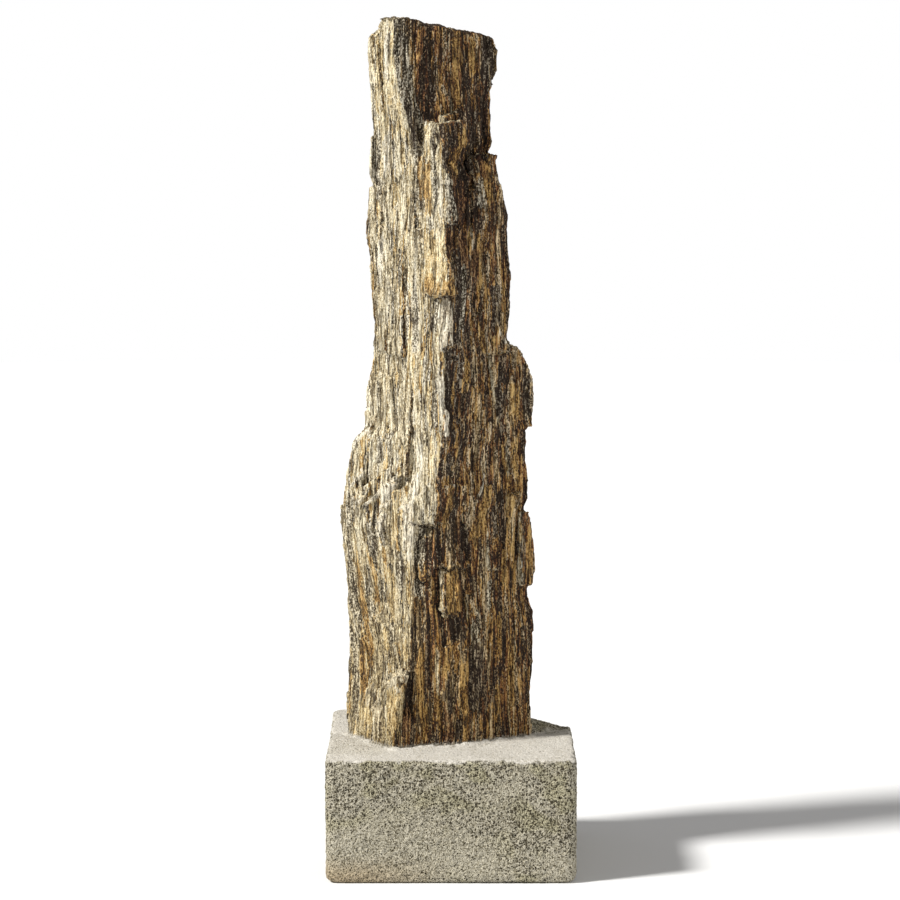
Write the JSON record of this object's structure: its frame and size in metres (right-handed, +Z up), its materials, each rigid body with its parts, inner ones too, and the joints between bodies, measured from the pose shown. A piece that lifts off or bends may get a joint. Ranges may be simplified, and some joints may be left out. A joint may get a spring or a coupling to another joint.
{
  "type": "gneiss stone pillar",
  "caption": "Rough split pillar of banded gneiss with a vertical grain, standing upright in a cast block of porous concrete as a free-standing garden stone.",
  "frame": {"origin": "on the ground, under the middle of the concrete foot", "axes": "+Z up along the pillar, +Y to the rear, +X to the right as seen from the front"},
  "size_m": [0.25, 0.235, 0.8587],
  "materials": {
    "gneiss": "rough split face, cream, grey, black and ochre bands along the grain",
    "concrete": "porous cast concrete, smooth trowelled top"
  },
  "bodies": {
    "root": {"gneiss_pillar": "gneiss", "concrete_foot": "concrete"}
  },
  "joints": []
}
